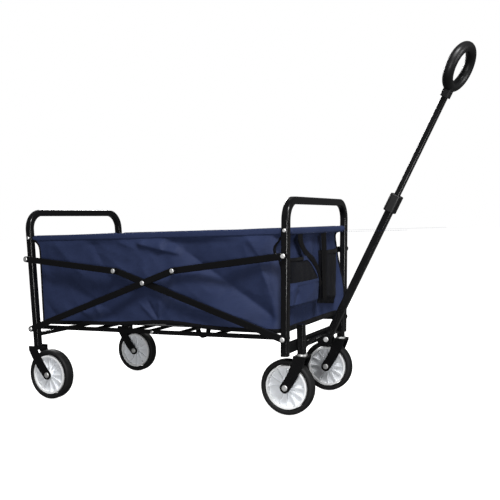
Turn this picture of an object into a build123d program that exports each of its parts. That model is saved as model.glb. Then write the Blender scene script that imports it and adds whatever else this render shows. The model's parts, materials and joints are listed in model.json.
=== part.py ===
from build123d import *
import os
from math import atan2, cos, degrees, hypot, radians, sin

os.makedirs("parts", exist_ok=True)

# Folding camp wagon, millimetres. +X is forward (the handle's end), +Y is left, +Z is up.
# The model is drawn about the middle of the side linkage, and moved to its origin on export.

# End frames: inverted U bends of rounded square tube, each leaning out at its top
pivot_span = 830.0          # lower arm pivots, rear to front
post_y = 220.0              # post centre from the middle plane
lean = 0.04                 # outward lean, x per z
tube = 20.0
tube_round = 4.5
tube_wall = 1.3
bend_radius = 52.0
top_bar_z = 566.0
post_face = post_y + tube / 2
rear_post_bottom = 155.0
front_post_bottom = 172.0

# Side linkage: long arms cross at the middle, short arms lead to the upper pivots
lower_pivot_z = 214.0
upper_pivot_z = 425.0
crossing_z = 355.5
elbow_beyond = 103.7        # crossing to the elbow rivet, along a long arm
arm_height = 18.0
arm_thick = 8.0
arm_wall = 1.2
layer_gap = 0.6
rivet_r = 3.0
rivet_head = 6.5
running = 0.05              # radial clearance of every pin

# Floor frame: two hinged halves of flat rail and round cross rods
rail_height = 12.0
rail_thick = 5.0
rear_rail_y = 199.5
front_rail_y = 205.5
cross_rod_r = 5.0
rear_rods_x = (-210.0, -80.0, -20.0)
front_rods_x = (85.0, 200.0)

# Basket of coated cloth
cloth = 3.0
rear_panel_half = 195.5     # the end panels pass inside the floor rails
front_panel_half = 201.5
floor_z = 232.0
floor_thick = 2.5
hem_z = 495.0
rear_panel_x = -388.0
front_panel_x = 398.0       # at the height of the lower pivots
side_panel_y = 218.5
board_half_width = 192.0
board_z = 236.0
board_thick = 4.0
rear_board = (-380.0, -33.0)
front_board = (33.0, 390.0)
front_pocket = (-192.0, 18.0, 292.0, 416.0)     # y, y, z, z
front_pocket_depth = 20.0
cup_pocket = (30.0, 168.0, 280.0, 426.0)
cup_pocket_depth = 34.0
strap_x = (16.0, 68.0)
strap_low = 168.0
strap_width = 25.0
strap_thick = 2.2

# Crossbeams and caster sleeves
beam_x = 414.0
beam_depth = 14.0
beam_height = 27.0
beam_z = 187.5
rear_bar_z = 194.0
sleeve_x = 431.0
sleeve_y = 151.5
sleeve_bottom = 165.0
sleeve_top = 243.0

# Wheels and forks
wheel_r = 75.5
wheel_width = 34.0
rim_r = 58.0
rear_axle_x = -363.0
front_axle_x = 388.0
axle_r = 5.0
fork_inner = 19.5
fork_plate = 3.0
fork_half_width = 17.0
fork_end_r = 14.0
spokes = 12

# Pull handle
handle_x = 446.0
handle_z = 181.5
handle_tilt = 62.0          # above the horizontal
handle_tail = 17.0
lower_tube = 20.0
upper_tube = 15.0
lower_tube_end = 425.0
upper_tube_start = 335.0
grip_start = 719.0
grip_centre = 800.0
grip_ring_r = 52.0
grip_bar_r = 13.5
grip_turn = 9.5             # the grip sits turned a little about the tube
collar = (394.0, 443.0)
collar_width = 32.0

rear_x = -pivot_span / 2
front_x = pivot_span / 2
lean_angle = atan2(lean, 1)
lean_deg = degrees(lean_angle)

# The origin lies on the floor under the middle of the whole length, from the rear bar to the grip
corner = tube / 2 - tube_round
bar_rise = top_bar_z - lower_pivot_z + corner
rear_tip = rear_x - corner * cos(lean_angle) - bar_rise * sin(lean_angle) - tube_round
front_tip = handle_x + (grip_centre + grip_ring_r) * cos(radians(handle_tilt)) + grip_bar_r
origin_x = (rear_tip + front_tip) / 2


def post_x(end, z):
    return end * (pivot_span / 2 + lean * (z - lower_pivot_z))


def save(name, *shapes):
    solids = [Pos(-origin_x, 0, 0) * solid for shape in shapes for solid in shape.solids()]
    whole = solids[0] if len(solids) == 1 else Compound(children=solids)
    export_step(whole, f"parts/{name}.step")


def across(radius, y1, y2, x=0.0, z=0.0):
    # A round bar along Y between two faces
    return Pos(x, (y1 + y2) / 2, z) * Rot(90, 0, 0) * Cylinder(radius, abs(y2 - y1))


def left_of(right_side):
    return mirror(right_side, about=Plane.XZ)


def ring_section(width, height, radius, wall):
    inner = RectangleRounded(width - 2 * wall, height - 2 * wall, radius - wall)
    return RectangleRounded(width, height, radius) - inner


def rivet(x, z, y_in, y_out, radius=rivet_r, head=rivet_head):
    # Shank between the two outer faces, with a low domed head on each
    shank = across(radius, y_in, y_out, x, z)
    way = 1 if y_out > y_in else -1
    heads = []
    for y, side in ((y_in, -way), (y_out, way)):
        dome = Pos(x, y, z) * Rot(-90 * side, 0, 0) * Pos(0, 0, 1.2) * Cylinder(head, 2.4)
        rim = dome.edges().filter_by(GeomType.CIRCLE).sort_by(lambda e: side * e.center().Y)[-1]
        heads.append(fillet(rim, 1.9))
    return shank + heads[0] + heads[1]


# End frames

def end_frame(end, bottom_z):
    top = top_bar_z - lower_pivot_z
    bottom = bottom_z - lower_pivot_z - 20
    path = FilletPolyline(
        (0, -post_y, bottom), (0, -post_y, top), (0, post_y, top), (0, post_y, bottom),
        radius=bend_radius,
    )
    start = Plane(origin=path @ 0, z_dir=path % 0)
    frame = sweep(start * ring_section(tube, tube, tube_round, tube_wall), path=path)
    frame = Pos(end * pivot_span / 2, 0, lower_pivot_z) * Rot(0, end * lean_deg, 0) * frame
    frame -= Pos(end * pivot_span / 2, 0, bottom_z - 100) * Box(200, 2 * post_face + 20, 200)
    for side in (-1, 1):
        y_in, y_out = side * (post_y - tube), side * (post_y + tube)
        frame -= across(rivet_r + running, y_in, y_out, end * pivot_span / 2, lower_pivot_z)
    return frame


def beam(x, z, depth, height):
    section = Plane.XZ * ring_section(depth, height, 2.5, 1.4)
    return Pos(x, 0, z) * extrude(section, post_y - tube / 2, both=True)


save("rear_frame", end_frame(-1, rear_post_bottom))
save("front_frame", end_frame(1, front_post_bottom))
save("rear_crossbar", beam(post_x(-1, rear_bar_z), rear_bar_z, 12.0, 12.0))
save("front_crossbeam", beam(beam_x, beam_z, beam_depth, beam_height))


def post_plug():
    # Plastic plug closing the open end of a front post
    x = post_x(1, front_post_bottom)
    head = Pos(x, -post_y, front_post_bottom - 1.5) * Box(tube, tube, 3)
    head = fillet(head.edges().filter_by(Axis.Z), tube_round)
    stem = Pos(x, -post_y, front_post_bottom + 5) * Box(14.5, 14.5, 10)
    return head + stem


save("front_post_plugs", post_plug(), left_of(post_plug()))


# Side linkage

def arm(x1, z1, x2, z2, layer, extra_eye=None):
    # Flat tube with rounded ends and an eye at each end, on the right side
    length = hypot(x2 - x1, z2 - z1)
    tilt = degrees(atan2(z2 - z1, x2 - x1))
    reach = length + arm_height
    section = Plane.YZ * ring_section(arm_thick, arm_height, 2.6, arm_wall)
    bar = Pos(length / 2 - reach / 2, 0, 0) * extrude(section, reach)
    outline = Plane.XZ * Pos(length / 2, 0) * SlotCenterToCenter(length, arm_height)
    bar &= extrude(outline, arm_thick, both=True)
    eyes = [0.0, length]
    if extra_eye:
        eyes.append(extra_eye)
    for eye in eyes:
        bar -= across(rivet_r + running, -arm_thick, arm_thick, eye)
    y = layer_middle(layer)
    return Pos(x1, y, z1) * Rot(0, -tilt, 0) * bar


def layer_face(layer, outer):
    inner = post_face + layer_gap + layer * (arm_thick + layer_gap)
    return -(inner + arm_thick) if outer else -inner


def layer_middle(layer):
    return (layer_face(layer, True) + layer_face(layer, False)) / 2


arm_run = hypot(pivot_span / 2, crossing_z - lower_pivot_z)
arm_tilt = atan2(crossing_z - lower_pivot_z, pivot_span / 2)
elbow_x = elbow_beyond * cos(arm_tilt)
elbow_z = crossing_z + elbow_beyond * sin(arm_tilt)
upper_x = post_x(1, upper_pivot_z)
inner_layer, outer_layer = 0, 1

arms = {
    "long_arm_rear": arm(rear_x, lower_pivot_z, elbow_x, elbow_z, outer_layer, arm_run),
    "long_arm_front": arm(front_x, lower_pivot_z, -elbow_x, elbow_z, inner_layer, arm_run),
    "short_arm_front": arm(elbow_x, elbow_z, upper_x, upper_pivot_z, inner_layer),
    "short_arm_rear": arm(-elbow_x, elbow_z, -upper_x, upper_pivot_z, outer_layer),
}
for name, right_arm in arms.items():
    save(name + "_right", right_arm)
    save(name + "_left", left_of(right_arm))

inside = layer_face(inner_layer, False)
outside = layer_face(outer_layer, True)
middle_face = layer_face(inner_layer, True)


def both_sides(name, *right_solids):
    save(name, *right_solids, *[left_of(s) for s in right_solids])


both_sides(
    "rear_arm_rivets",
    rivet(0, crossing_z, inside + 0.2, outside),
    rivet(elbow_x, elbow_z, inside + 0.2, outside),
)
both_sides("front_arm_rivets", rivet(-elbow_x, elbow_z, inside + 0.2, outside))


# The upper rivets move with the short arms, and stop short of the posts
def upper_rivet(x, stub_face, outer_face):
    head = rivet(x, upper_pivot_z, outer_face, outer_face - 0.1)
    head &= Pos(x, outer_face - 5, upper_pivot_z) * Box(30, 10, 30)
    shank = across(rivet_r, stub_face, outer_face, x, upper_pivot_z)
    return shank + head


both_sides("front_upper_rivets", upper_rivet(upper_x, inside, middle_face))
washer_in = -(post_face + 0.5)
washer = across(8.0, washer_in, layer_face(outer_layer, False), -upper_x, upper_pivot_z)
rear_upper = upper_rivet(-upper_x, layer_face(outer_layer, False), outside)
both_sides("rear_upper_rivets", washer + rear_upper)

bush = across(8.0, -post_face, layer_face(outer_layer, False), rear_x, lower_pivot_z)
bush -= across(rivet_r + running, -post_face - 20, -post_face + 20, rear_x, lower_pivot_z)
both_sides("rear_spacer_bushes", bush)


def hem_rivet(end):
    x = post_x(end, hem_z - 6)
    head = Pos(x, -post_face - 1.2, hem_z - 6) * Rot(90, 0, 0) * Cylinder(5.0, 2.4)
    rim = head.edges().filter_by(GeomType.CIRCLE).sort_by(Axis.Y)[0]
    return fillet(rim, 1.9)


rear_rail_in = -(rear_rail_y - rail_thick / 2)
front_rail_in = -(front_rail_y - rail_thick / 2)
rear_pivot_rivet = rivet(rear_x, lower_pivot_z, rear_rail_in + 0.4, outside)
front_pivot_rivet = rivet(front_x, lower_pivot_z, front_rail_in + 0.4, middle_face)
both_sides("rear_frame_rivets", rear_pivot_rivet, hem_rivet(-1))
both_sides("front_frame_rivets", front_pivot_rivet, hem_rivet(1))


# Floor frame

def rail(x1, x2, y):
    length = x2 - x1
    outline = Plane.XZ * Pos((x1 + x2) / 2, lower_pivot_z) * SlotCenterToCenter(length, rail_height)
    return Pos(0, -y, 0) * extrude(outline, rail_thick / 2, both=True)


def floor_half(x1, x2, hinge_x, rail_y, rods_x):
    side = rail(x1, x2, rail_y)
    side -= across(rivet_r + running, -rail_y - 10, -rail_y + 10, hinge_x, lower_pivot_z)
    half = side + left_of(side)
    for x in rods_x:
        half += across(cross_rod_r, -rail_y, rail_y, x, lower_pivot_z)
    return half


save("rear_floor_frame", floor_half(rear_x, 0.0, rear_x, rear_rail_y, rear_rods_x))
save("front_floor_frame", floor_half(0.0, front_x, front_x, front_rail_y, front_rods_x))


def rail_stud():
    # Domed stud at the free end of a front rail
    face = -(front_rail_y + rail_thick / 2)
    stud = Pos(0, face - 0.9, lower_pivot_z) * Rot(90, 0, 0) * Cylinder(4.5, 1.8)
    return fillet(stud.edges().filter_by(GeomType.CIRCLE).sort_by(Axis.Y)[0], 1.4)


both_sides("front_rail_studs", rail_stud())


# Basket

def slab(x1, x2, y1, y2, z1, z2):
    return Pos((x1 + x2) / 2, (y1 + y2) / 2, (z1 + z2) / 2) * Box(x2 - x1, y2 - y1, z2 - z1)


def leaned(shape):
    # Tilts a shape with the front posts, about the lower pivots
    return Pos(front_x, 0, lower_pivot_z) * Rot(0, lean_deg, 0) * Pos(-front_x, 0, -lower_pivot_z) * shape


side_in = side_panel_y - cloth / 2
side_out = side_panel_y + cloth / 2


def end_panel(x, half_width):
    return slab(x, x + cloth, -half_width, half_width, floor_z, hem_z)


save("basket_rear_panel", end_panel(rear_panel_x - cloth, rear_panel_half))
save("basket_front_panel", leaned(end_panel(front_panel_x, front_panel_half)))
right_panel = slab(rear_panel_x - cloth, front_panel_x - 1, -side_out, -side_in, floor_z, hem_z)
save("basket_right_panel", right_panel)
save("basket_left_panel", left_of(right_panel))
floor_sheet = slab(rear_panel_x, front_panel_x - 1, -side_in, side_in, floor_z, floor_z + floor_thick)
save("basket_floor", floor_sheet)


def board(x1, x2):
    plate = slab(x1, x2, -board_half_width, board_half_width, board_z, board_z + board_thick)
    return fillet(plate.edges().filter_by(Axis.Z), 8)


save("rear_base_board", board(*rear_board))
save("front_base_board", board(*front_board))


def pouch(y1, y2, z1, z2, depth):
    # Open-topped pouch on the front panel
    face = front_panel_x + cloth
    wall = 2.0
    outer = slab(face, face + depth, y1, y2, z1, z2)
    outer = fillet(outer.edges().filter_by(Axis.Z).group_by(Axis.X)[-1], 6)
    hollow = slab(face - 1, face + depth - wall, y1 + wall, y2 - wall, z1 + wall, z2 + 1)
    return leaned(outer - hollow)


save("front_pocket", pouch(*front_pocket, front_pocket_depth))
save("front_cup_pocket", pouch(*cup_pocket, cup_pocket_depth))


# Pull strap: webbing hanging in a loop under the floor
strap_top = floor_z - 0.5
strap_path = FilletPolyline(
    (strap_x[0], 0, strap_top),
    (strap_x[0] + 8, 0, strap_low + 22),
    (strap_x[0] + 28, 0, strap_low),
    (strap_x[1] - 10, 0, strap_low + 22),
    (strap_x[1], 0, strap_top),
    radius=12,
)
strap_start = Plane(origin=strap_path @ 0, x_dir=(0, 1, 0), z_dir=strap_path % 0)
save("pull_strap", sweep(strap_start * Rectangle(strap_width, strap_thick), path=strap_path))


# Crown, arms and hub eyes of a wheel fork, about its steering axis
def fork(reach, plate_bottom, arm_top):
    way = 1 if reach > 0 else -1
    shoulder_z = plate_bottom - 2
    run = Vector(reach, wheel_r - shoulder_z)
    along = run / run.length
    beside = Vector(-along.Y, along.X)
    hub = Vector(reach, wheel_r)
    bow = Vector(-way * 4.0, 0)
    left_hub = hub - beside * fork_end_r
    right_hub = hub + beside * fork_end_r
    left = Vector(-fork_half_width, shoulder_z)
    right = Vector(fork_half_width, shoulder_z)
    edges = [
        Line((-fork_half_width, arm_top), (fork_half_width, arm_top)),
        Line((fork_half_width, arm_top), (right.X, right.Y)),
        ThreePointArc(right, (right + right_hub) / 2 + bow, right_hub),
        ThreePointArc(right_hub, hub + along * fork_end_r, left_hub),
        ThreePointArc(left_hub, (left + left_hub) / 2 + bow, left),
        Line((left.X, left.Y), (-fork_half_width, arm_top)),
    ]
    side = extrude(Plane.XZ * make_face(edges), fork_plate)
    outer = fork_inner + fork_plate
    legs = Pos(0, outer, 0) * side + Pos(0, -fork_inner, 0) * side
    crown = slab(-fork_half_width, fork_half_width, -outer, outer, plate_bottom, plate_bottom + 5)
    body = legs + crown
    body -= across(axle_r + running, -outer - 5, outer + 5, reach, wheel_r)
    return body


rear_stem_x = post_x(-1, rear_post_bottom)
rear_fork = fork(rear_axle_x - rear_stem_x, rear_post_bottom - 5, rear_post_bottom + 6)
rear_fork = Pos(rear_stem_x, -post_y, 0) * rear_fork
front_fork = fork(front_axle_x - sleeve_x, sleeve_bottom - 9, sleeve_bottom - 4)
front_fork = Pos(sleeve_x, -sleeve_y, 0) * front_fork
save("rear_right_fork", rear_fork)
save("rear_left_fork", left_of(rear_fork))
save("right_caster_fork", front_fork)
save("left_caster_fork", left_of(front_fork))


def axle(x, y):
    face = fork_inner + fork_plate
    return Pos(0, y, 0) * rivet(x, wheel_r, -face, face, axle_r, 8.0)


both_sides("rear_axles", axle(rear_axle_x, -post_y))
stem = Pos(sleeve_x, -sleeve_y, sleeve_bottom - 2.25) * Cylinder(14, 3.5)
stem += Pos(sleeve_x, -sleeve_y, 200) * Cylinder(8, 72)
stem &= slab(300, 500, -300, 0, sleeve_bottom - 4, 300)
save("right_caster_pins", stem, axle(front_axle_x, -sleeve_y))
save("left_caster_pins", left_of(stem), left_of(axle(front_axle_x, -sleeve_y)))

sleeve = slab(sleeve_x - 10, sleeve_x + 10, -sleeve_y - 10, -sleeve_y + 10, sleeve_bottom, sleeve_top)
sleeve = fillet(sleeve.edges().filter_by(Axis.Z), 3.5)
sleeve -= Pos(sleeve_x, -sleeve_y, 200) * Cylinder(8 + running, 76)
both_sides("caster_sleeves", sleeve)


# Bowed rod from each caster sleeve to the handle bracket
brace_path = ThreePointArc((sleeve_x, -sleeve_y + 10, 176), (sleeve_x, -78, 190), (sleeve_x, -13.5, 190))
brace_start = Plane(origin=brace_path @ 0, z_dir=brace_path % 0)
brace = sweep(brace_start * Circle(4.5), path=brace_path)
brace -= slab(400, 460, -250, -sleeve_y + 10, 150, 220)
brace -= slab(400, 460, -13.5, 30, 150, 220)
both_sides("caster_braces", brace)


# Wheels

def tyre():
    half = wheel_width / 2
    outline = Polyline(
        (rim_r, half - 3), (rim_r + 3, half), (wheel_r, half),
        (wheel_r, -half), (rim_r + 3, -half), (rim_r, 3 - half), close=True,
    )
    profile = make_face(outline)
    profile = fillet(profile.vertices().group_by(Axis.X)[-1], 8)
    return revolve(profile, Axis.Y)


def wheel_disc():
    # Rim, web, hub and spokes moulded in one piece
    rim = Rot(90, 0, 0) * (Cylinder(rim_r - 0.05, 29) - Cylinder(rim_r - 5, 29))
    web = Rot(90, 0, 0) * Cylinder(rim_r - 4, 7)
    hub = Rot(90, 0, 0) * Cylinder(13, 2 * fork_inner - 0.6)
    disc = rim + web + hub
    for i in range(spokes):
        spoke = Pos((rim_r - 5 + 12) / 2, 0, 0) * Box(rim_r - 5 - 10, 20, 2.6)
        disc += Rot(0, i * 360 / spokes, 0) * spoke
    return disc - across(axle_r + running, -40, 40)


wheels = {
    "rear_right": (rear_axle_x, -post_y),
    "rear_left": (rear_axle_x, post_y),
    "front_right": (front_axle_x, -sleeve_y),
    "front_left": (front_axle_x, sleeve_y),
}
for name, (x, y) in wheels.items():
    save(name + "_tyre", Pos(x, y, wheel_r) * tyre())
    save(name + "_wheel_disc", Pos(x, y, wheel_r) * wheel_disc())


# Handle

def on_handle(shape):
    return Pos(handle_x, 0, handle_z) * Rot(0, -handle_tilt, 0) * shape


def handle_tube(size, s1, s2, wall):
    section = Plane.YZ * ring_section(size, size, 3.0, wall)
    return Pos(s1, 0, 0) * extrude(section, s2 - s1)


pivot_bolt_r = 4.0
lower = handle_tube(lower_tube, -handle_tail, lower_tube_end, 1.4)
lower -= across(pivot_bolt_r + running, -20, 20)
save("handle_lower_tube", on_handle(lower))
save("handle_upper_tube", on_handle(handle_tube(upper_tube, upper_tube_start, grip_start + 20, 1.2)))



def square_bar(s1, s2, size):
    return slab(s1, s2, -size / 2, size / 2, -size / 2, size / 2)


lock = square_bar(*collar, collar_width)
lock = fillet(lock.edges().filter_by(Axis.X), 8)
lock = fillet(lock.faces().sort_by(Axis.X)[-1].edges() + lock.faces().sort_by(Axis.X)[0].edges(), 2.5)
bore = lower_tube + 2 * running
lock -= square_bar(collar[0] - 1, lower_tube_end, bore)
slot = upper_tube + 2 * running
lock -= square_bar(lower_tube_end - 1, collar[1] + 1, slot)
save("handle_collar", on_handle(lock))

glide_size = lower_tube - 2 * 1.4 - 2 * running
glide = square_bar(upper_tube_start - 6, upper_tube_start, glide_size)
glide = fillet(glide.edges().filter_by(Axis.X), 2.0)
save("handle_glide", on_handle(glide))

ring = Pos(grip_centre, 0, 0) * Rot(-grip_turn, 0, 0) * Torus(grip_ring_r, grip_bar_r)
socket_end = grip_centre - grip_ring_r
socket = slab(grip_start, socket_end, -12.5, 12.5, -12, 12)
socket = fillet(socket.edges().filter_by(Axis.X), 5)
grip = ring + socket
grip -= square_bar(grip_start - 1, grip_start + 20, slot)
save("handle_grip", on_handle(grip))

bracket_face = beam_x + beam_depth / 2
ear_outline = make_hull(
    (
        Pos((bracket_face + handle_x) / 2, handle_z) * Rectangle(handle_x - bracket_face, 32)
    ).edges()
    + (Pos(handle_x, handle_z) * Circle(16.0)).edges()
)
ear = Pos(0, -lower_tube / 2 - 0.5, 0) * extrude(Plane.XZ * ear_outline, 3)
ear_face = lower_tube / 2 + 3.5
back = slab(bracket_face, bracket_face + 3, -ear_face, ear_face, handle_z - 14, handle_z + 16)
bracket = ear + left_of(ear) + back
bracket -= across(pivot_bolt_r + running, -30, 30, handle_x, handle_z)
save("handle_bracket", bracket)
save("handle_pivot_bolt", rivet(handle_x, handle_z, -ear_face - 0.05, ear_face + 0.05, pivot_bolt_r, 7.5))
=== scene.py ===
import json
import math

import bpy
from mathutils import Matrix, Vector, noise


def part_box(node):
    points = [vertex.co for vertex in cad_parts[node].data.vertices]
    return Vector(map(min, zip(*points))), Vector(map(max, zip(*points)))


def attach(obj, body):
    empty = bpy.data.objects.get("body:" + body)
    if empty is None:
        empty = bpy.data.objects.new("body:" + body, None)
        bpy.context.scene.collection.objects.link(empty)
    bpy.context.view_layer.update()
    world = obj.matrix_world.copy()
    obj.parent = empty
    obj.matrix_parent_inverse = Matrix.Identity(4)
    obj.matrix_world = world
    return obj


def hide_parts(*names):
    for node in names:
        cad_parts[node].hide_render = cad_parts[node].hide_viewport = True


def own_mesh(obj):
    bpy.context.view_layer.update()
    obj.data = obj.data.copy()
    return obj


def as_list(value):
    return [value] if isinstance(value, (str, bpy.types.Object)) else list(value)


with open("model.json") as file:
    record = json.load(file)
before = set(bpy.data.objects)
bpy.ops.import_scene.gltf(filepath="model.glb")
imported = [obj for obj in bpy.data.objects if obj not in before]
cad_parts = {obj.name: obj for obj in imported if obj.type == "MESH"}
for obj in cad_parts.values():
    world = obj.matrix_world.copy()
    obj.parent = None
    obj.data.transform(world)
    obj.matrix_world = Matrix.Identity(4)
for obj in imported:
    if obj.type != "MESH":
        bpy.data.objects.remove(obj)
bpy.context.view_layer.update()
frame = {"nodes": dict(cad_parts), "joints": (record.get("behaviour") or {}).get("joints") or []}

# Sizes below are in millimetres about the middle of the side linkage, and at() places them
pivots = {joint["name"]: joint.get("pos_m") for joint in frame["joints"]}
middleX = pivots["arm_crossing"][0]
print("frame loaded,", len(frame["nodes"]), "CAD nodes")


def at(x, y, z):
    return Vector((middleX + x / 1000, y / 1000, z / 1000))


def ease(value, low, high):
    # 0 at low, 1 at high, smooth between
    share = min(1.0, max(0.0, (value - low) / (high - low)))
    return share * share * (3 - 2 * share)


def signedPower(value, power):
    return math.copysign(abs(value) ** power, value)


def ripple(a, b, c):
    return noise.noise(Vector((a, b, c)))


def between(stops, where):
    # Straight lines through (where, value) pairs in rising order
    for (a, va), (b, vb) in zip(stops, stops[1:]):
        if where <= b:
            return va + (vb - va) * max(0.0, (where - a) / (b - a))
    return stops[-1][1]


# Camera

shot = {"turn": 26.74, "rise": 1.84, "roll": -1.86, "away": 2.10095, "lens": 51.62, "target": at(212.36, 0, 433.33)}


def placeCamera():
    turn, rise, roll = (math.radians(shot[k]) for k in ("turn", "rise", "roll"))
    back = Vector((math.sin(turn) * math.cos(rise), -math.cos(turn) * math.cos(rise), math.sin(rise)))
    right = Vector((math.cos(turn), math.sin(turn), 0))
    above = back.cross(right)
    rightRolled = right * math.cos(roll) + above * math.sin(roll)
    aboveRolled = above * math.cos(roll) - right * math.sin(roll)
    bpy.ops.object.camera_add()
    camera = bpy.context.object
    camera.name = "camera"
    camera.data.lens = shot["lens"]
    camera.data.sensor_width = 36
    camera.data.clip_end = 50
    facing = Matrix((rightRolled, aboveRolled, back)).transposed().to_4x4()
    camera.matrix_world = Matrix.Translation(shot["target"] + back * shot["away"]) @ facing
    bpy.context.scene.camera = camera


placeCamera()
print("camera placed")


# Mesh helpers

def startFresh():
    if bpy.context.object and bpy.context.object.mode != "OBJECT":
        bpy.ops.object.mode_set(mode="OBJECT")
    bpy.ops.object.select_all(action="DESELECT")


def takeUp(piece):
    startFresh()
    piece.select_set(True)
    bpy.context.view_layer.objects.active = piece


def applyModifier(piece, kind, **settings):
    takeUp(piece)
    modifier = piece.modifiers.new(kind.title(), kind)
    for setting, value in settings.items():
        setattr(modifier, setting, value)
    bpy.ops.object.modifier_apply(modifier=modifier.name)


def settle(piece):
    # The place goes into the mesh, and the object stays at the origin
    takeUp(piece)
    bpy.ops.object.transform_apply(location=True, rotation=True, scale=True)


def clothSheet(name, columns, rows, place, thick):
    # A grid laid out by place(along, up), both from 0 to 1, then given its thickness
    startFresh()
    bpy.ops.mesh.primitive_grid_add(x_subdivisions=columns, y_subdivisions=rows, size=1)
    sheet = bpy.context.object
    sheet.name = sheet.data.name = name
    for vertex in sheet.data.vertices:
        vertex.co = place(vertex.co.x + 0.5, vertex.co.y + 0.5)
    applyModifier(sheet, "SOLIDIFY", thickness=thick / 1000, offset=0, use_even_offset=False)
    bpy.ops.object.shade_smooth_by_angle(angle=math.radians(50))
    return sheet


def sleeve(name, columns, rows, place):
    # A closed tube: rows go round it and its two ends are filled
    startFresh()
    bpy.ops.mesh.primitive_grid_add(x_subdivisions=columns, y_subdivisions=rows, size=1)
    tube = bpy.context.object
    tube.name = tube.data.name = name
    for vertex in tube.data.vertices:
        vertex.co = place(vertex.co.x + 0.5, vertex.co.y + 0.5)
    bpy.ops.object.mode_set(mode="EDIT")
    bpy.ops.mesh.select_all(action="SELECT")
    bpy.ops.mesh.remove_doubles(threshold=0.00001)
    bpy.ops.mesh.fill_holes(sides=0)
    bpy.ops.mesh.normals_make_consistent(inside=False)
    bpy.ops.object.mode_set(mode="OBJECT")
    bpy.ops.object.shade_smooth_by_angle(angle=math.radians(50))
    return tube


def curvedPath(points):
    # A smooth line through the points, by its share of the way
    spots = [Vector(p) for p in points]
    spots = [spots[0] * 2 - spots[1], *spots, spots[-1] * 2 - spots[-2]]
    count = len(spots) - 3

    def where(share):
        section = min(count - 1, int(share * count))
        t = share * count - section
        a, b, c, d = spots[section:section + 4]
        return 0.5 * (2 * b + (c - a) * t + (2 * a - 5 * b + 4 * c - d) * t ** 2 + (3 * b - a - 3 * c + d) * t ** 3)

    return where


def piping(name, points, radius, closed=False):
    # A round line of bound cloth or wire through the points
    startFresh()
    bpy.ops.curve.primitive_bezier_curve_add()
    line = bpy.context.object
    line.name = name
    line.data.splines.clear()
    spline = line.data.splines.new("NURBS")
    spline.points.add(len(points) - 1)
    for knot, spot in zip(spline.points, points):
        knot.co = (*spot, 1)
    spline.order_u = 3
    spline.use_endpoint_u = not closed
    spline.use_cyclic_u = closed
    spline.resolution_u = 8
    line.data.bevel_depth = radius / 1000
    line.data.bevel_resolution = 4
    line.data.use_fill_caps = not closed
    bpy.ops.object.convert(target="MESH")
    line = bpy.context.object
    line.data.name = name
    bpy.ops.object.mode_set(mode="EDIT")
    bpy.ops.mesh.select_all(action="SELECT")
    bpy.ops.mesh.remove_doubles(threshold=0.00001)
    bpy.ops.mesh.normals_make_consistent(inside=False)
    bpy.ops.object.mode_set(mode="OBJECT")
    bpy.ops.object.shade_smooth_by_angle(angle=math.radians(50))
    return line


# Shader helpers

class Wire:
    def __init__(self, finish, socket):
        self.finish = finish
        self.socket = socket

    def reckon(self, operation, *others):
        sockets = dict(enumerate(others))
        return self.finish.node("ShaderNodeMath", {"operation": operation}, sockets)

    def __add__(self, other):
        return self.reckon("ADD", self, other)

    def __radd__(self, other):
        return self.reckon("ADD", other, self)

    def __sub__(self, other):
        return self.reckon("SUBTRACT", self, other)

    def __rsub__(self, other):
        return self.reckon("SUBTRACT", other, self)

    def __mul__(self, other):
        return self.reckon("MULTIPLY", self, other)

    def __rmul__(self, other):
        return self.reckon("MULTIPLY", other, self)

    def __pow__(self, other):
        return self.reckon("POWER", self, other)

    def sine(self):
        return self.reckon("SINE", self)


class Finish:
    # One material: fixed values go on the shader's own sockets
    def __init__(self, name, fixed):
        self.material = bpy.data.materials.new(name)
        self.material.use_nodes = True
        self.tree = self.material.node_tree
        self.shader = next(n for n in self.tree.nodes if n.type == "BSDF_PRINCIPLED")
        for socket, value in fixed.items():
            self.shader.inputs[socket].default_value = value

    def node(self, kind, settings=None, sockets=None, output=0):
        made = self.tree.nodes.new(kind)
        for setting, value in (settings or {}).items():
            if setting == "stops":
                for i, (where, shade) in enumerate(value):
                    element = made.color_ramp.elements[i] if i < 2 else made.color_ramp.elements.new(where)
                    element.position = where
                    element.color = (*shade, 1)
            else:
                setattr(made, setting, value)
        for socket, value in (sockets or {}).items():
            self.feed(made.inputs[socket], value)
        return Wire(self, made.outputs[output])

    def feed(self, socket, value):
        if isinstance(value, Wire):
            self.tree.links.new(value.socket, socket)
        else:
            socket.default_value = value

    def show(self, socket, value):
        self.feed(self.shader.inputs[socket], value)

    def place(self):
        return self.node("ShaderNodeTexCoord", output=3)

    def axes(self):
        place = self.place()
        return [self.node("ShaderNodeSeparateXYZ", {}, {0: place}, output=i) for i in range(3)]

    def speckle(self, scale, detail=3.0, rough=0.55):
        sockets = {"Vector": self.place(), "Scale": scale, "Detail": detail, "Roughness": rough}
        return self.node("ShaderNodeTexNoise", {}, sockets)

    def tint(self, mask, low, high):
        low, high = (end if isinstance(end, Wire) else (*end, 1) for end in (low, high))
        sockets = {0: mask, 6: low, 7: high}
        return self.node("ShaderNodeMix", {"data_type": "RGBA"}, sockets, output=2)

    def spread(self, mask, low, high):
        return self.node("ShaderNodeMapRange", {}, {0: mask, 1: low, 2: high})

    def bump(self, height, strength, distance):
        sockets = {"Height": height, "Strength": strength, "Distance": distance}
        self.show("Normal", self.node("ShaderNodeBump", {}, sockets))


# Finishes

enamel = {"black": (0.004, 0.004, 0.0045), "worn": (0.010, 0.010, 0.011), "rough": (0.2, 0.32)}


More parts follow.
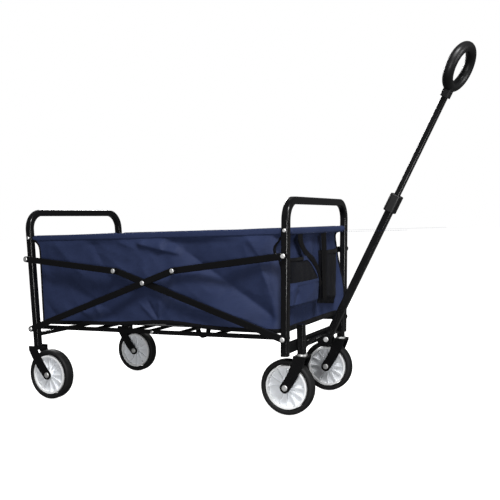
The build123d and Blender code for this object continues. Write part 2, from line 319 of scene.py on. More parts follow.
def enamelBlack():
    # Powder coat: fine orange peel, faint scuffs, drier in patches
    made = Finish("frameEnamel", {"Specular IOR Level": 0.22, "Coat Roughness": 0.1})
    patches = made.spread(made.speckle(9, 4), 0.35, 0.7)
    scuffs = made.spread(made.speckle(70, 6, 0.7), 0.62, 0.8)
    made.show("Base Color", made.tint(scuffs, enamel["black"], enamel["worn"]))
    low, high = enamel["rough"]
    made.show("Roughness", patches * (high - low) + low + scuffs * 0.15)
    made.show("Coat Weight", 0.16 - scuffs * 0.12)
    made.bump(made.speckle(420, 2), 0.06, 0.0003)
    return made.material


steel = {"bright": (0.92, 0.92, 0.91), "dull": (0.7, 0.7, 0.7), "rough": (0.4, 0.55)}


def rivetSteel():
    made = Finish("zincSteel", {"Metallic": 0.85})
    wear = made.spread(made.speckle(260, 4), 0.35, 0.7)
    made.show("Base Color", made.tint(wear, steel["bright"], steel["dull"]))
    low, high = steel["rough"]
    made.show("Roughness", wear * (high - low) + low)
    made.bump(made.speckle(900, 3), 0.15, 0.0003)
    return made.material


disc = {"rim": (0.9, 0.91, 0.92), "web": (0.84, 0.86, 0.89), "dust": (0.5, 0.5, 0.5), "rimFrom": 0.0515}


def wheelPlastic(centre):
    # Pale moulded plastic: the web is painted a little greyer than the bright rim as painted shade in the recess,
    # with road dust in patches, less on the rim
    made = Finish("wheelPlastic", {"Specular IOR Level": 0.45})
    x, y, z = made.axes()
    away = ((x - centre.x) ** 2 + (z - centre.z) ** 2) ** 0.5
    rim = made.spread(away, disc["rimFrom"] - 0.0015, disc["rimFrom"] + 0.001)
    dust = made.spread(made.speckle(55, 5, 0.65), 0.55, 0.8) * (1 - rim * 0.7)
    # painted shade: the web inside the rim gets a greyer colour than the rim
    body = made.tint(rim, disc["web"], disc["rim"])
    made.show("Base Color", made.tint(dust * 0.35, body, disc["dust"]))
    made.show("Roughness", 0.34 + dust * 0.25)
    made.bump(made.speckle(1200, 2), 0.1, 0.0002)
    return made.material


rubber = {"black": (0.006, 0.006, 0.0065), "dusty": (0.022, 0.0215, 0.021)}


def tyreRubber(centre):
    # Matt rubber: dusty on the tread, with fine moulding rings on the sidewall
    made = Finish("tyreRubber", {"Specular IOR Level": 0.28})
    x, y, z = made.axes()
    away = ((x - centre.x) ** 2 + (z - centre.z) ** 2) ** 0.5
    tread = made.spread(away, 0.0725, 0.0752)
    dust = made.spread(made.speckle(90, 5, 0.7), 0.45, 0.75)
    made.show("Base Color", made.tint(dust * (0.3 + tread * 0.4), rubber["black"], rubber["dusty"]))
    made.show("Roughness", 0.58 + dust * 0.25)
    rings = (away * 5200).sine() * (1 - tread)
    made.bump(rings * 0.3 + made.speckle(700, 3), 0.2, 0.0004)
    return made.material


plastic = {"black": (0.005, 0.005, 0.0055), "rubbed": (0.014, 0.014, 0.015)}


def blackPlastic():
    # Grained moulding, polished a little where hands rub it
    made = Finish("grainedPlastic", {"Specular IOR Level": 0.3})
    rubbed = made.spread(made.speckle(22, 4), 0.45, 0.7)
    made.show("Base Color", made.tint(rubbed * 0.5, plastic["black"], plastic["rubbed"]))
    made.show("Roughness", 0.46 - rubbed * 0.14)
    grain = made.node("ShaderNodeTexVoronoi", {}, {"Vector": made.place(), "Scale": 950.0})
    made.bump(grain + made.speckle(400, 2) * 0.5, 0.1, 0.0002)
    return made.material


navy = {
    "base": (0.0185, 0.0275, 0.071), "deep": (0.010, 0.0155, 0.043), "faded": (0.026, 0.037, 0.090),
    "threads": 2 * math.pi / 0.0011, "slub": (60.0, 60.0, 900.0),
}


def navyCloth():
    # Coated oxford cloth: basket weave, slight fading in broad cloudy patches
    made = Finish("navyOxford", {
        "Specular IOR Level": 0.14, "Sheen Weight": 0.04, "Sheen Roughness": 0.4, "Sheen Tint": (0.4, 0.5, 0.9, 1),
    })
    x, y, z = made.axes()
    warp = ((x + y) * navy["threads"]).sine()
    weft = (z * navy["threads"] + y * 40).sine()
    weave = warp * weft
    cloudy = made.spread(made.speckle(6, 5, 0.6), 0.3, 0.72)
    stretched = made.node("ShaderNodeMapping", {}, {"Vector": made.place(), "Scale": navy["slub"]})
    slubs = made.node("ShaderNodeTexNoise", {}, {"Vector": stretched, "Scale": 1.0, "Detail": 2.0})
    slubs = made.spread(slubs, 0.5, 0.8)
    colour = made.tint(cloudy, navy["base"], navy["faded"])
    colour = made.tint(slubs * 0.35 + (0.5 - weave * 0.5) * 0.3, colour, navy["deep"])
    made.show("Base Color", colour)
    made.show("Roughness", 0.62 - cloudy * 0.1 + slubs * 0.06)
    made.bump(weave * 0.5 + slubs * 0.4 + made.speckle(240, 3) * 0.8, 0.3, 0.0003)
    return made.material


binding = {"black": (0.003, 0.003, 0.0038), "lint": (0.010, 0.010, 0.012), "ribs": 2 * math.pi / 0.0014}


def blackBinding():
    # Woven tape used for seams and trims
    made = Finish("blackTape", {"Specular IOR Level": 0.1, "Sheen Weight": 0.02, "Sheen Roughness": 0.5})
    x, y, z = made.axes()
    ribs = ((x + y + z) * binding["ribs"]).sine() * ((x + y - z) * binding["ribs"]).sine()
    lint = made.spread(made.speckle(180, 5, 0.7), 0.5, 0.8)
    made.show("Base Color", made.tint(lint * 0.5, binding["black"], binding["lint"]))
    made.show("Roughness", 0.8 - lint * 0.1)
    made.bump(ribs * 0.5 + lint, 0.35, 0.0003)
    return made.material


net = {"thread": (0.0032, 0.0032, 0.0042), "hole": (0.005, 0.007, 0.014), "pitch": 0.0026}


def pocketNet():
    # Knitted net: round holes through a dull black cloth
    made = Finish("pocketNet", {"Specular IOR Level": 0.1, "Sheen Weight": 0.02, "Sheen Roughness": 0.5})
    x, y, z = made.axes()
    count = 2 * math.pi / net["pitch"]
    cells = (y * count).sine() * (z * count).sine()
    holes = made.spread(cells, 0.25, 0.6)
    made.show("Base Color", made.tint(holes, net["thread"], net["hole"]))
    made.show("Alpha", 1 - holes * 0.35)
    made.show("Roughness", 0.85 - holes * 0.1 + made.speckle(90) * 0.08)
    made.bump(1 - holes, 0.5, 0.0005)
    return made.material


webbing = {"black": (0.003, 0.003, 0.0035), "worn": (0.010, 0.010, 0.011), "ribs": 2 * math.pi / 0.0022}


def blackWebbing():
    # Ribbed polypropylene tape: wear in patches, and the rib crests painted a little lighter and the troughs darker
    # as painted highlight and shade
    made = Finish("blackWebbing", {"Specular IOR Level": 0.14})
    x, y, z = made.axes()
    ribs = ((x * 0.4 + y + z * 0.7) * webbing["ribs"]).sine()
    worn = made.spread(made.speckle(120, 5, 0.7), 0.5, 0.8)
    # painted highlight and shade: ribs * 0.1 lightens the rib crests and darkens the troughs; worn adds real wear
    made.show("Base Color", made.tint(worn * 0.6 + ribs * 0.1, webbing["black"], webbing["worn"]))
    made.show("Roughness", 0.6 + worn * 0.2)
    made.bump(ribs * 0.6 + worn * 0.4, 0.45, 0.0005)
    return made.material


boardCloth = {"dark": (0.014, 0.016, 0.022), "light": (0.03, 0.033, 0.045)}


def baseBoardCloth():
    # Felted cover of the stiff base boards
    made = Finish("boardCover", {"Specular IOR Level": 0.3, "Sheen Weight": 0.2, "Sheen Roughness": 0.6})
    felt = made.spread(made.speckle(420, 6, 0.75), 0.35, 0.7)
    cloudy = made.speckle(14, 4)
    made.show("Base Color", made.tint(felt * 0.5 + cloudy * 0.4, boardCloth["dark"], boardCloth["light"]))
    made.show("Roughness", 0.75 + felt * 0.15)
    made.bump(felt + cloudy * 0.3, 0.3, 0.0005)
    return made.material


finishes = {
    "black_frame": enamelBlack(),
    "rivet_steel": rivetSteel(),
    "black_plastic": blackPlastic(),
    "navy_cloth": navyCloth(),
    "black_cloth": blackBinding(),
    "black_webbing": blackWebbing(),
    "base_board": baseBoardCloth(),
}
netCloth = pocketNet()
print("finishes made")


def dress(piece, body, slot, finish=None, stands=()):
    piece.data.materials.clear()
    piece.data.materials.append(finish or finishes[slot])
    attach(piece, body)
    if stands:
        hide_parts(*stands)
    return piece


# Fabric of the basket

fold = {"anchor": at(-388, 0, 0), "keep": 0.2257}      # a place at the rear seam and a kept share of the length


def crumple(piece):
    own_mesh(piece)


basket = {
    "rearX": -388.0, "floor": 236.0, "hem": 496.0, "sideY": 218.5, "endHalf": 207.0,
    "thick": 1.4, "hemX": 424.0, "trimFoot": 226.0,
}

# Front corner seam, height then place along the wagon, for each side
frontSeam = {
    -1: [
        (230, 409), (300, 409), (380, 408), (404, 404), (422, 393),
        (438, 386), (452, 390), (466, 402), (479, 411), (500, 416),
    ],
    1: [
        (230, 424), (303, 423.5), (334, 420), (385, 409), (440, 402),
        (465, 399.5), (475, 403), (479, 409), (500, 416),
    ],
}
rearSeam = [
    (230, -386.5), (300, -387.5), (420, -389), (452, -390),
    (466, -394), (475, -402), (480, -411), (500, -416),
]

sideCreases = [
    # x, z to x, z; how far out it stands; how far it fades above and below the line
    {"line": (66, 484, 165, 411), "out": -11.0, "above": 70, "below": 32},
    {"line": (150, 420, 404, 250), "out": -16.0, "above": 56, "below": 30},
    {"line": (312, 480, 349, 428), "out": 6.0, "above": 40, "below": 12},
    {"line": (352, 400, 404, 256), "out": 7.0, "above": 12, "below": 16},
    {"line": (376, 340, 404, 262), "out": -5.0, "above": 12, "below": 7},
    {"line": (-26, 464, 50, 447), "out": 9.0, "above": 34, "below": 6},
    {"line": (40, 449, 104, 435), "out": 7.0, "above": 24, "below": 5},
    {"line": (-96, 470, -40, 452), "out": 4.0, "above": 24, "below": 9},
    {"line": (0, 306, 28, 252), "out": -4.0, "above": 5, "below": 7},
    {"line": (-22, 294, 22, 250), "out": 3.5, "above": 7, "below": 5},
    {"line": (64, 290, 34, 252), "out": -4.0, "above": 6, "below": 5},
    {"line": (40, 300, 32, 254), "out": 3.0, "above": 5, "below": 5},
    {"line": (-384, 392, -120, 262), "out": -10.0, "above": 80, "below": 46},
    {"line": (-130, 380, -66, 359), "out": 5.0, "above": 22, "below": 7},
    {"line": (-240, 273, -196, 246), "out": 5.0, "above": 12, "below": 8},
    {"line": (-192, 284, -172, 256), "out": 4.0, "above": 10, "below": 8},
    {"line": (-344, 484, -226, 372), "out": 7.0, "above": 46, "below": 60},
    {"line": (-200, 478, -150, 396), "out": -5.0, "above": 44, "below": 24},
    {"line": (-20, 402, 60, 300), "out": 6.0, "above": 60, "below": 40},
    {"line": (-384, 300, -330, 244), "out": -4.0, "above": 20, "below": 14},
    {"line": (110, 276, 300, 262), "out": 5.0, "above": 26, "below": 8},
    {"line": (60, 330, 190, 300), "out": -5.0, "above": 26, "below": 22},
]


def mirrored(crease):
    x1, z1, x2, z2 = crease["line"]
    return {**crease, "line": (-x1, z1, -x2, z2)}


farCreases = [mirrored(crease) for crease in sideCreases]


def creased(x, z, creases):
    # Sum of the folds at one place, millimetres outward
    total = 0.0
    for crease in creases:
        x1, z1, x2, z2 = crease["line"]
        dx, dz = x2 - x1, z2 - z1
        length = math.hypot(dx, dz)
        along = ((x - x1) * dx + (z - z1) * dz) / length / length
        if not -0.25 < along < 1.25:
            continue
        off = ((z - z1) * dx - (x - x1) * dz) / length * (1 if dx >= 0 else -1)
        fade = crease["above"] if off > 0 else crease["below"]
        if abs(off) > 5 * fade:
            continue
        sharp = math.exp(-(math.sqrt(off * off + 2.2) - 1.48) / fade)
        total += crease["out"] * sharp * ease(along, -0.22, 0.2) * ease(1 - along, -0.22, 0.2)
    return total


def lowEdge(x):
    # The bottom seam rises a little at the middle of each side
    return basket["floor"] + 13 * math.exp(-((x - 55) / 120) ** 2) + 3 * math.exp(-((x + 150) / 150) ** 2)


def sideSpot(side, creases):
    # Place on a side panel: along from the rear seam to the front seam, up from the bottom seam to the hem
    def place(along, up):
        roughX = basket["rearX"] + along * 800
        foot = lowEdge(roughX * (1 if side < 0 else -1))
        z = foot + up * (basket["hem"] - 4 - foot)
        rear = between(rearSeam, z)
        x = rear + along * (between(frontSeam[side], z) - rear)
        held = ease(z, 232, 262) * (1 - ease(z, 462, 480)) * ease(x, -389, -350) * (1 - ease(x, 366, 400))
        wave = ripple(x / 95, side * 3.0, z / 70) * 2.4 + ripple(x / 32, 7.0 + side, z / 40) * 0.5
        rucks = abs(ripple(x / 60 + z / 90, side * 5.0, z / 55))
        rucks += 0.5 * abs(ripple(x / 34 - z / 50, side * 9.0, z / 30))
        out = (creased(x, z, creases) + wave - rucks * 2.2 + 0.8) * (0.12 + 0.88 * held)
        out = min(9.5, max(-19.0, out + 2.0 * math.sin(math.pi * min(1, max(0, (z - 236) / 250))) * held))
        inward = 11.0 * ease(x, 380, 412) * (1 - ease(z, 470, 482))
        return at(x, side * (basket["sideY"] + out - inward), z)

    return place


def makeSide(side, name, node, creases):
    cloth = clothSheet(name, 250, 84, sideSpot(side, creases), basket["thick"])
    dress(cloth, "wagon_rear", "navy_cloth", stands=[node])
    crumple(cloth)
    return cloth


sideCloths = {
    -1: makeSide(-1, "side_cloth_right", "basket_right_panel", sideCreases),
    1: makeSide(1, "side_cloth_left", "basket_left_panel", farCreases),
}
print("side cloths made")

hem = {
    "thick": 4.2, "drop": 17.0, "halfLength": 416.0,
    "firstStitch": -402, "stitches": 190, "stitch": 4.0, "thread": (0.0028, 0.0007, 0.0007),
}


def sideHemSpot(side):
    # Rolled hem along a side, flattened, with its two faces round a cord of air
    def place(along, around):
        x = (along * 2 - 1) * hem["halfLength"]
        turn = around * 2 * math.pi
        pinch = 1 - 0.45 * ease(abs(x), 396, 416)
        sag = 1.2 * math.sin(math.pi * along) + ripple(x / 120, side, 4.0) * 0.8
        y = side * (basket["sideY"] + 0.6 + signedPower(math.cos(turn), 0.6) * hem["thick"] / 2)
        rise = signedPower(math.sin(turn), 0.7) * hem["drop"] / 2 * pinch
        z = basket["hem"] - hem["drop"] / 2 + rise - sag
        return at(x, y, z)

    return place


def makeSideHem(side, name):
    roll = sleeve(name, 160, 22, sideHemSpot(side))
    dress(roll, "wagon_rear", "navy_cloth")
    crumple(roll)
    return roll


def makeStitches(side, name):
    # A row of stitches under the rolled hem
    startFresh()
    first = at(hem["firstStitch"], side * (basket["sideY"] + 3.0), basket["hem"] - hem["drop"] + 2.6)
    bpy.ops.mesh.primitive_cube_add(size=1, location=first, scale=hem["thread"])
    row = bpy.context.object
    row.name = row.data.name = name
    applyModifier(row, "BEVEL", width=0.00025, segments=2)
    applyModifier(
        row, "ARRAY", count=hem["stitches"], use_relative_offset=False, use_constant_offset=True,
        constant_offset_displace=(hem["stitch"] / 1000 * 1.5, 0, 0),
    )
    settle(row)
    dress(row, "wagon_rear", "navy_cloth")
    crumple(row)
    return row


trim = {"thick": 2.4}


def trimSpot(side):
    # Black tape over the bottom seam, from under the floor to the lower edge of the cloth
    def place(along, up):
        x = -387.5 + along * (795.0 if side < 0 else 808.0)
        top = lowEdge(x * (1 if side < 0 else -1)) + 1.5
        foot = top - 10.5
        z = foot + up * (top - foot)
        inward = 11.0 * ease(x, 380, 412)
        bulge = 1.6 + 1.4 * math.sin(math.pi * up) + ripple(x / 40, side, up) * 0.8
        return at(x, side * (basket["sideY"] + bulge - inward), z)

    return place


def makeTrim(side, name):
    tape = clothSheet(name, 160, 8, trimSpot(side), trim["thick"])
    dress(tape, "wagon_rear", "black_cloth")
    crumple(tape)
    return tape


for side, word in ((-1, "right"), (1, "left")):
    parts = [
        makeSideHem(side, "side_hem_" + word),
        makeStitches(side, "side_stitches_" + word),
        makeTrim(side, "side_trim_" + word),
    ]
print("hems and trims made")


def endX(end, y, z):
    # Outer face of an end panel: its own slope at the middle, the seams at its two edges
    side = -1 if y < 0 else 1
    seam = between(frontSeam[side], z) if end > 0 else -between(rearSeam, z)
    middle = 402 + (z - 214) * 0.04 if end > 0 else 389
    ruffle = ripple(y / 60, end * 5.0, z / 90) * 2.0 + ripple(y / 24, end * 2.0, z / 60) * 0.8
    edge = ease(abs(y), 158, 206)
    x = middle + (seam - middle) * edge + ruffle * (1 - edge)
    shelf = ease(z, 464, 479) * (1 - ease(abs(y), 140, 196))
    return end * (x + (basket["hemX"] - 5 - x) * shelf)


endCreases = {
    1: [
        {"line": (-196, 240, -150, 330), "out": 3.0, "above": 14, "below": 20},
        {"line": (-150, 474, -176, 400), "out": -4.0, "above": 16, "below": 22},
        {"line": (-60, 474, -20, 420), "out": 3.0, "above": 20, "below": 26},
        {"line": (120, 474, 150, 380), "out": -3.0, "above": 22, "below": 20},
        {"line": (30, 282, 60, 240), "out": -2.5, "above": 14, "below": 12},
    ],
    -1: [
        {"line": (-170, 470, -60, 330), "out": 3.5, "above": 40, "below": 36},
        {"line": (160, 472, 40, 350), "out": -3.5, "above": 36, "below": 44},
        {"line": (-120, 250, 0, 290), "out": -3.0, "above": 30, "below": 24},
    ],
}


def endSpot(end):
    def place(along, up):
        y = (along * 2 - 1) * basket["endHalf"] * end * -1
        z = basket["floor"] - 4 + up * (basket["hem"] - 10 - basket["floor"] + 4)
        out = creased(y, z, endCreases[end]) * (1 - ease(abs(y), 170, 205))
        out *= (1 - ease(z, 455, 474)) * ease(z, 232, 250)
        x = endX(end, y, z) + end * out
        y *= 1 + 0.05 * (1 - ease(z, 470, 480)) * (1 if end < 0 else 0)
        return at(x, y, z)

    return place


def endHemSpot(end):
    # Padded sleeve round the top of an end panel, deeper where it meets the posts
    def place(along, around):
        y = (along * 2 - 1) * 209.0
        turn = around * 2 * math.pi
        near = ease(abs(y), 178, 204)
        close = math.sqrt(max(0.0, 1 - ((abs(y) - 200) / 9.6) ** 2)) if abs(y) > 200 else 1.0
        deep = (4.5 + 6.0 * near) * close
        tall = 9.0 * (0.55 + 0.45 * close)
        across = math.cos(turn)
        rise = signedPower(math.sin(turn), 0.75)
        ruffle = ripple(y / 50, end, 2.0) * 0.9
        x = end * (basket["hemX"] + 1 + ruffle + deep * across)
        z = basket["hem"] - 9 + tall * rise - 1.3 * math.sin(math.pi * along)
        return at(x, y, z)

    return place


def cornerPiping(end, side, name):
    # Bound edge of a corner seam, turning out to the post at its top
    seam = frontSeam[side] if end > 0 else rearSeam
    y = side * ((basket["endHalf"] + 1) if end > 0 else basket["sideY"])
    points = [at(x, y, max(230, z)) for z, x in seam[:-1]]
    points.append(at(end * 417, side * (basket["sideY"] - 4), 481))
    edge = piping(name, points, 3.1 if end < 0 else 3.6)
    return dress(edge, "wagon_front" if end > 0 else "wagon_rear", "black_cloth")


def makeEnd(end, word, node):
    body = "wagon_front" if end > 0 else "wagon_rear"
    panel = clothSheet("end_cloth_" + word, 120, 80, endSpot(end), basket["thick"])
    dress(panel, body, "navy_cloth", stands=[node])
    roll = dress(sleeve("end_hem_" + word, 120, 24, endHemSpot(end)), body, "navy_cloth")
    corners = ((-1, "_right"), (1, "_left"))
    edges = [cornerPiping(end, side, "corner_binding_" + word + mark) for side, mark in corners]

    def tapeSpot(along, up):
        y = (along * 2 - 1) * 208
        z = basket["trimFoot"] + up * (basket["floor"] + 4 - basket["trimFoot"])
        return at(endX(end, y, 236) + end * (1.6 + math.sin(math.pi * up)), y, z)

    foot = dress(clothSheet("end_trim_" + word, 80, 6, tapeSpot, trim["thick"]), body, "black_cloth")
    return panel, [roll, foot, *edges]


frontCloth, frontParts = makeEnd(1, "front", "basket_front_panel")
rearCloth, rearParts = makeEnd(-1, "rear", "basket_rear_panel")
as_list(rearParts)
print("end cloths made")


def floorSpot(along, over):
    x = -386 + along * 788
    y = (over * 2 - 1) * 214
    sag = ripple(x / 120, y / 120, 1.0) * 0.6
    return at(x, y, 233.4 + sag)


floorCloth = clothSheet("floor_cloth", 120, 60, floorSpot, 1.6)
dress(floorCloth, "wagon_rear", "black_cloth", stands=["basket_floor"])
crumple(floorCloth)


# Front pockets

pocket = {"ends": (-191.0, 16.0), "foot": 286.0, "waist": 351.0, "top": 416.0, "deep": 18.5, "square": 7.0}


def netTop(y):
    # The opening sweeps down to the far corner
    return pocket["top"] - 66 * ease(y, -92, 17) ** 1.15


def pocketFace(y, z, lift):
    low, high = pocket["ends"]
    off = abs((y - (low + high) / 2) / ((high - low) / 2))
    across = max(0.0, 1 - off ** pocket["square"]) ** 0.5
    swell = ease(z, pocket["foot"] - 1, pocket["foot"] + 9)
    lean = 1 - 0.25 * ease(z, 360, 416)
    return endX(1, y, z) + 2.0 + lift + pocket["deep"] * across * (0.12 + 0.88 * swell) * lean


def pocketBodySpot(along, up):
    low, high = pocket["ends"]
    y = low + along * (high - low)
    z = pocket["foot"] + up * (pocket["waist"] - pocket["foot"])
    pleats = [
        {"line": (-172, 286, -150, 326), "out": -5.0, "above": 9, "below": 14},
        {"line": (-190, 330, -160, 344), "out": 2.5, "above": 14, "below": 14},
        {"line": (10, 288, -14, 322), "out": -3.0, "above": 12, "below": 12},
        {"line": (-110, 300, -30, 330), "out": 2.0, "above": 24, "below": 24},
    ]
    return at(pocketFace(y, z, creased(y, z, pleats) * ease(up, 0, 0.15)), y, z)


def netSpot(along, up):
    low, high = pocket["ends"]
    y = low + along * (high - low)
    z = pocket["waist"] - 1 + up * (netTop(y) - pocket["waist"] + 1)
    return at(pocketFace(y, z, -0.6 + ripple(y / 26, 3.0, z / 26) * 1.5), y, z)


def tapeAlong(name, centre, wide, lift, columns=70):
    # A flat tape on the pocket, following its surface along a line of (y, z)
    def place(along, over):
        y, z = centre(along)
        y2, z2 = centre(min(1.0, along + 0.01) if along < 0.99 else along)
        y1, z1 = centre(along if along < 0.99 else along - 0.01)
        run = math.hypot(y2 - y1, z2 - z1) or 1.0
        shift = (over - 0.5) * wide
        yy, zz = y - (z2 - z1) / run * shift, z + (y2 - y1) / run * shift
        return at(pocketFace(yy, zz, lift), yy, zz)

    return clothSheet(name, columns, 6, place, 1.6)


def makePocket():
    body = clothSheet("pocket_body", 90, 36, pocketBodySpot, 1.4)
    dress(body, "wagon_front", "navy_cloth", stands=["front_pocket"])
    mesh = clothSheet("pocket_net", 90, 30, netSpot, 1.0)
    dress(mesh, "wagon_front", "black_cloth", netCloth)
    low, high = pocket["ends"]

    def sweepDown(share):
        y = -112 + share * (high + 112)
        return y, netTop(y) - 3

    curve = tapeAlong("pocket_curve_binding", sweepDown, 11, 1.0)
    straight = tapeAlong("pocket_top_binding", lambda t: (low + t * (-108 - low), pocket["top"] - 3), 8, 1.0, 40)
    waist = tapeAlong("pocket_waist_hem", lambda t: (low + t * (high - low), pocket["waist"] - 3), 8, 1.2)
    dress(curve, "wagon_front", "navy_cloth")
    dress(straight, "wagon_front", "black_cloth")
    dress(waist, "wagon_front", "navy_cloth")


cup = {"ends": (34.0, 164.0), "foot": 278.0, "top": 427.0, "deep": 17.0, "round": 2.8, "sag": 15.0}


def cupFoot(y):
    low, high = cup["ends"]
    return cup["foot"] - cup["sag"] * (y - low) / (high - low)


def cupFace(y, z, lift=0.0):
    low, high = cup["ends"]
    off = abs((y - (low + high) / 2) / ((high - low) / 2))
    across = max(0.0, 1 - off ** cup["round"]) ** 0.5
    foot = cupFoot(y)
    swell = ease(z, foot - 3, foot + 24)
    return endX(1, y, z) + 1.8 + lift + cup["deep"] * across * (0.08 + 0.92 * swell)


def cupSpot(along, up):
    low, high = cup["ends"]
    y = low + along * (high - low)
    z = cupFoot(y) + up * (cup["top"] - cupFoot(y))
    return at(cupFace(y, z, ripple(y / 22, 9.0, z / 30) * 1.4), y, z)


def makeCupPocket():
    low, high = cup["ends"]
    body = clothSheet("cup_net", 70, 60, cupSpot, 1.1)
    dress(body, "wagon_front", "black_cloth", netCloth, stands=["front_cup_pocket"])

    def rimSpot(along, up):
        y = low - 1 + along * (high - low + 2)
        return at(cupFace(y, cup["top"], 0.8), y, cup["top"] - 10 + up * 11)

    def stripSpot(along, up):
        z = 290 + along * 190
        y = 30 + up * 26
        return at(max(closing["plane"], cupFace(y, min(z, cup["top"]), 1.8)), y, z)

    rim = dress(clothSheet("cup_rim_binding", 60, 4, rimSpot, 1.8), "wagon_front", "black_cloth")
    strip = dress(clothSheet("cup_webbing", 80, 8, stripSpot, 1.8), "wagon_front", "black_webbing")


closing = {
    "line": [(-125, 482), (-124, 466), (-115, 448), (-92, 429), (-54, 409), (-24, 385), (-1, 360), (14, 332)],
    "wide": (30, 19), "plane": 425.0,
}


def makeClosingStrap():
    # Webbing that hangs from the hem, crosses the first pocket and runs down beside it
    path = curvedPath([(0, y, z) for y, z in closing["line"]])

    def place(along, over):
        spot, ahead = path(along), path(min(1.0, along + 0.02))
        behind = path(max(0.0, along - 0.02))
        run = (ahead - behind).normalized()
        wide = closing["wide"][0] + (closing["wide"][1] - closing["wide"][0]) * ease(along, 0.1, 0.4)
        y = spot.y - run.z * (over - 0.5) * wide
        z = spot.z + run.y * (over - 0.5) * wide
        curl = 1.2 * math.cos((over - 0.5) * math.pi)
        free = ease(z, 412, 424)
        lying = max(closing["plane"], pocketFace(y, min(z, 420), 2.4))
        return at(closing["plane"] * free + lying * (1 - free) + curl, y, z)

    strap = clothSheet("closing_strap", 110, 8, place, 1.9)
    return dress(strap, "wagon_front", "black_webbing")


makePocket()
makeCupPocket()
strap = makeClosingStrap()
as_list(frontParts)
print("pockets and strap made")


# Pull strap under the floor

pull = {
    "line": [(15, 231), (19, 214), (25, 194), (33, 178), (45, 170.5), (57, 178), (63, 194), (65, 214), (66, 231)],
    "wide": 24.0, "thick": 4.6,
}


def makePullStrap():
    # A doubled webbing loop to pull the floor up by
    path = curvedPath([(x, 0, z) for x, z in pull["line"]])

    def place(along, over):
        spot = path(along)
        pinch = 1 - 0.3 * math.exp(-((along - 0.5) / 0.16) ** 2)
        return at(spot.x, (over - 0.5) * pull["wide"] * pinch, spot.z)

    loop = clothSheet("pull_loop", 90, 8, place, pull["thick"])
    applyModifier(loop, "BEVEL", width=0.0012, segments=2, limit_method="ANGLE", angle_limit=math.radians(50))
    dress(loop, "front_floor", "black_webbing", stands=["pull_strap"])


makePullStrap()


# Base boards

boards = {"border": 9.0, "groove": 0.9}


def makeBoard(node, body):
    # A stiff board in a sewn cover, grooved along its stitched border
    low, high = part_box(node)
    startFresh()
    bpy.ops.mesh.primitive_cube_add(size=1, location=(low + high) / 2, scale=high - low)
    board = bpy.context.object
    board.name = board.data.name = node + "_cover"
    settle(board)
    bpy.ops.object.mode_set(mode="EDIT")
    bpy.ops.mesh.select_all(action="DESELECT")
    bpy.ops.object.mode_set(mode="OBJECT")
    for edge in board.data.edges:
        a, b = (board.data.vertices[i].co for i in edge.vertices)
        edge.select = abs(a.z - b.z) > 0.002
    bpy.ops.object.mode_set(mode="EDIT")
    bpy.ops.mesh.bevel(offset=0.008, segments=6)
    bpy.ops.mesh.select_all(action="DESELECT")
    bpy.ops.object.mode_set(mode="OBJECT")
    for face in board.data.polygons:
        face.select = abs(face.normal.z) > 0.9
    bpy.ops.object.mode_set(mode="EDIT")
    bpy.ops.mesh.inset(thickness=0.0016)
    bpy.ops.mesh.inset(thickness=boards["border"] / 1000)
    bpy.ops.mesh.inset(thickness=0.0012)
    bpy.ops.object.mode_set(mode="OBJECT")
    rim = boards["border"] / 1000 + 0.0016
    for vertex in board.data.vertices:
        sides = [vertex.co.x - low.x, high.x - vertex.co.x, vertex.co.y - low.y, high.y - vertex.co.y]
        if min(sides) > rim - 0.0004:
            way = 1 if vertex.co.z > (low.z + high.z) / 2 else -1
            vertex.co.z -= way * boards["groove"] / 1000 * (1 if min(sides) < rim + 0.0008 else 0.2)
    applyModifier(board, "BEVEL", width=0.0007, segments=2, limit_method="ANGLE", angle_limit=math.radians(40))
    bpy.ops.object.shade_smooth_by_angle(angle=math.radians(40))
    return dress(board, body, "base_board", stands=[node])


makeBoard("rear_base_board", "rear_board")
makeBoard("front_base_board", "front_board")
print("boards made")


# Tyres

tyre = {"middle": 66.75, "halfTall": 8.75, "halfWide": 17.0, "square": 3.4, "round": 108, "groove": 1.3}


def makeTyre():
    # A squared ring with two staggered rows of grooves in its tread
    startFresh()
    bpy.ops.mesh.primitive_torus_add(
        major_segments=tyre["round"], minor_segments=30, major_radius=tyre["middle"] / 1000,
        minor_radius=0.006, rotation=(math.pi / 2, 0, 0),
    )
    ring = bpy.context.object
    settle(ring)
    for vertex in ring.data.vertices:
        away = math.hypot(vertex.co.x, vertex.co.z)
        turn = math.atan2(away - tyre["middle"] / 1000, vertex.co.y)
        power = 2 / tyre["square"]
        out = signedPower(math.sin(turn), power) * tyre["halfTall"]
        wide = signedPower(math.cos(turn), power) * tyre["halfWide"]
        grown = (tyre["middle"] + out) / 1000 / away
        vertex.co = (vertex.co.x * grown, wide / 1000, vertex.co.z * grown)
    step = 2 * math.pi / tyre["round"]
    for face in ring.data.polygons:
        centre = face.center
        away = math.hypot(centre.x, centre.z)
        column = int((math.atan2(centre.z, centre.x) + math.pi) / step)
        shoulder = 0.003 < abs(centre.y) < 0.0165
        face.select = away > 0.0725 and shoulder and (column + (0 if centre.y > 0 else 1)) % 2 == 0
    bpy.ops.object.mode_set(mode="EDIT")
    bpy.ops.mesh.select_mode(type="FACE")
    bpy.ops.mesh.inset(thickness=0.0005)
    bpy.ops.transform.shrink_fatten(value=-tyre["groove"] / 1000)
    bpy.ops.mesh.select_all(action="SELECT")
    bpy.ops.mesh.normals_make_consistent(inside=False)
    bpy.ops.object.mode_set(mode="OBJECT")
    bpy.ops.object.shade_smooth_by_angle(angle=math.radians(35))
    return ring


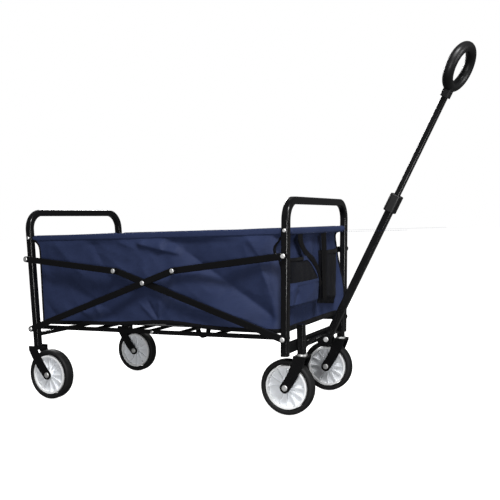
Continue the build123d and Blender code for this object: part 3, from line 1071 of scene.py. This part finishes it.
def dressWheels():
    pattern = makeTyre()
    for word in ("rear_right", "rear_left", "front_right", "front_left"):
        low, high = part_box(word + "_tyre")
        centre = (low + high) / 2
        takeUp(pattern)
        bpy.ops.object.duplicate()
        ring = bpy.context.object
        ring.name = ring.data.name = word + "_tread_tyre"
        ring.location = centre
        settle(ring)
        dress(ring, word + "_wheel", "tyre_rubber", tyreRubber(centre), [word + "_tyre"])
        moulded = frame["nodes"][word + "_wheel_disc"]
        moulded.data.materials.clear()
        moulded.data.materials.append(wheelPlastic(centre))
    bpy.data.objects.remove(pattern)


dressWheels()
print("wheels dressed")


# Finishes of the CAD nodes that stay in view

steelNodes = {
    "rear_frame_rivets", "front_frame_rivets", "rear_arm_rivets", "front_arm_rivets", "front_upper_rivets",
    "rear_upper_rivets", "front_rail_studs", "rear_axles", "right_caster_pins", "left_caster_pins",
    "handle_pivot_bolt",
}
plasticNodes = {"front_post_plugs", "handle_collar", "handle_grip", "handle_glide", "rear_spacer_bushes"}
for name, node in frame["nodes"].items():
    if name.endswith(("_wheel_disc", "_tyre")) or name.startswith("basket_"):
        continue
    slot = "rivet_steel" if name in steelNodes else "black_plastic" if name in plasticNodes else "black_frame"
    node.data.materials.clear()
    node.data.materials.append(finishes[slot])
print("frame dressed")


# Floor, lights and surroundings

studio = {
    "floor": (0.5, 0.5, 0.5), "floorPatch": (0.46, 0.46, 0.46), "floorGlow": 1.0, "around": 0.10,
    "lights": [
        # place, aimed at, size, power
        ((1.25, -1.35, 2.5), (0.0, 0.0, 0.35), 0.6, 92),      # key, high on the near side
        ((2.3, -0.2, 0.9), (0.3, 0.0, 0.3), 0.7, 20),          # front softbox
        ((0.75, -2.3, 0.3), (0.0, 0.0, 0.05), 0.5, 24),        # low fill on the wheels
        ((-1.5, 1.6, 1.9), (0.0, 0.0, 0.3), 0.8, 64),          # far side and back
    ],
}


def buildStudio():
    startFresh()
    bpy.ops.mesh.primitive_plane_add(size=80, location=(0, 0, -0.0005))
    ground = bpy.context.object
    ground.name = "ground"
    paint = Finish("studioFloor", {"Roughness": 0.9, "Specular IOR Level": 0.1})
    paint.show("Base Color", paint.tint(paint.speckle(2.0) * 0.1, studio["floor"], studio["floorPatch"]))
    paint.shader.inputs["Emission Color"].default_value = (1, 1, 1, 1)
    paint.shader.inputs["Emission Strength"].default_value = studio["floorGlow"]
    ground.data.materials.append(paint.material)
    ground.visible_diffuse = ground.visible_glossy = False      # keeps the underside dark
    for place, aim, size, power in studio["lights"]:
        bpy.ops.object.light_add(type="AREA", location=place)
        lamp = bpy.context.object
        lamp.data.size = size
        lamp.data.energy = power
        lamp.rotation_euler = (Vector(aim) - Vector(place)).to_track_quat("-Z", "Y").to_euler()
    world = bpy.data.worlds.new("studio")
    bpy.context.scene.world = world
    world.use_nodes = True
    tree = world.node_tree
    tree.nodes.clear()
    seen = tree.nodes.new("ShaderNodeBackground")
    seen.inputs[0].default_value = (1, 1, 1, 1)
    seen.inputs[1].default_value = 1.0
    glow = tree.nodes.new("ShaderNodeBackground")
    glow.inputs[0].default_value = (1, 1, 1, 1)
    glow.inputs[1].default_value = studio["around"]
    path = tree.nodes.new("ShaderNodeLightPath")
    mix = tree.nodes.new("ShaderNodeMixShader")
    end = tree.nodes.new("ShaderNodeOutputWorld")
    tree.links.new(path.outputs["Is Camera Ray"], mix.inputs[0])
    tree.links.new(glow.outputs[0], mix.inputs[1])
    tree.links.new(seen.outputs[0], mix.inputs[2])
    tree.links.new(mix.outputs[0], end.inputs[0])
    bpy.context.scene.view_settings.view_transform = "Standard"


buildStudio()
print("studio built")
